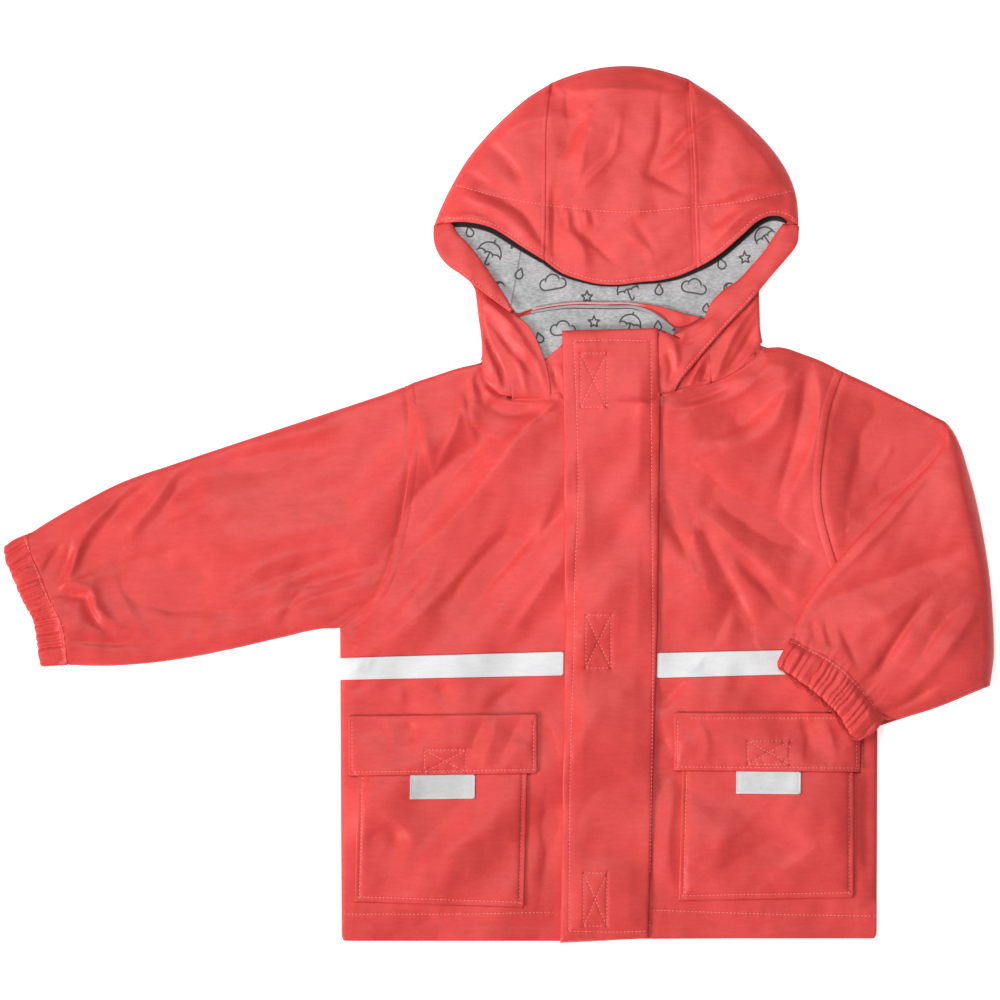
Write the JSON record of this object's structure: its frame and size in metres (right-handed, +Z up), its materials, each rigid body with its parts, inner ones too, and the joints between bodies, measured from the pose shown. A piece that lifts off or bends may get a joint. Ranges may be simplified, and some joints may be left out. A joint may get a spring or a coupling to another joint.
{
  "type": "kids rain jacket",
  "caption": "Child's hooded rain jacket laid flat, a sleeve folded over its front: coated cloth, storm flap over the front opening, flap pockets, reflective band, gathered cuffs and lined hood.",
  "frame": {"origin": "centre of the laid jacket's bounding box, on the surface it lies on", "axes": "+Z up from the surface the jacket lies on, out of its front; +Y from the hem towards the hood; +X across the body towards the wearer's left, where the sleeve is folded"},
  "size_m": [0.6926, 0.6138, 0.0174],
  "materials": {
    "coated_cloth": "satin polyurethane-coated cloth",
    "jersey_lining": "matte grey marl cotton jersey with a small printed pattern",
    "reflective_tape": "smooth silver-white retroreflective tape",
    "neck_tape": "matte woven tape",
    "label_satin": "plain woven satin, unprinted"
  },
  "bodies": {
    "root": {"back": "coated_cloth", "hood_back": "coated_cloth", "front_right": "coated_cloth", "front_left": "coated_cloth", "pocket_right": "coated_cloth", "flap_right": "coated_cloth", "pocket_left": "coated_cloth", "flap_left": "coated_cloth", "placket": "coated_cloth", "hood_side_right": "coated_cloth", "hood_centre": "coated_cloth", "hood_side_left": "coated_cloth", "rim_right": "coated_cloth", "rim_left": "coated_cloth", "gore_right": "coated_cloth", "rear_right": "coated_cloth", "gore_left": "coated_cloth", "rear_left": "coated_cloth", "chin_right": "coated_cloth", "neck_piping": "coated_cloth", "sleeve_right": "coated_cloth", "cuff_right": "coated_cloth", "sleeve_left_upper": "coated_cloth", "sleeve_left_fore": "coated_cloth", "cuff_left": "coated_cloth", "hood_lining": "jersey_lining", "neck_facing": "jersey_lining", "tape_right": "reflective_tape", "tape_left": "reflective_tape", "neck_tape": "neck_tape", "label_right": "label_satin", "label_left": "label_satin"}
  },
  "joints": []
}
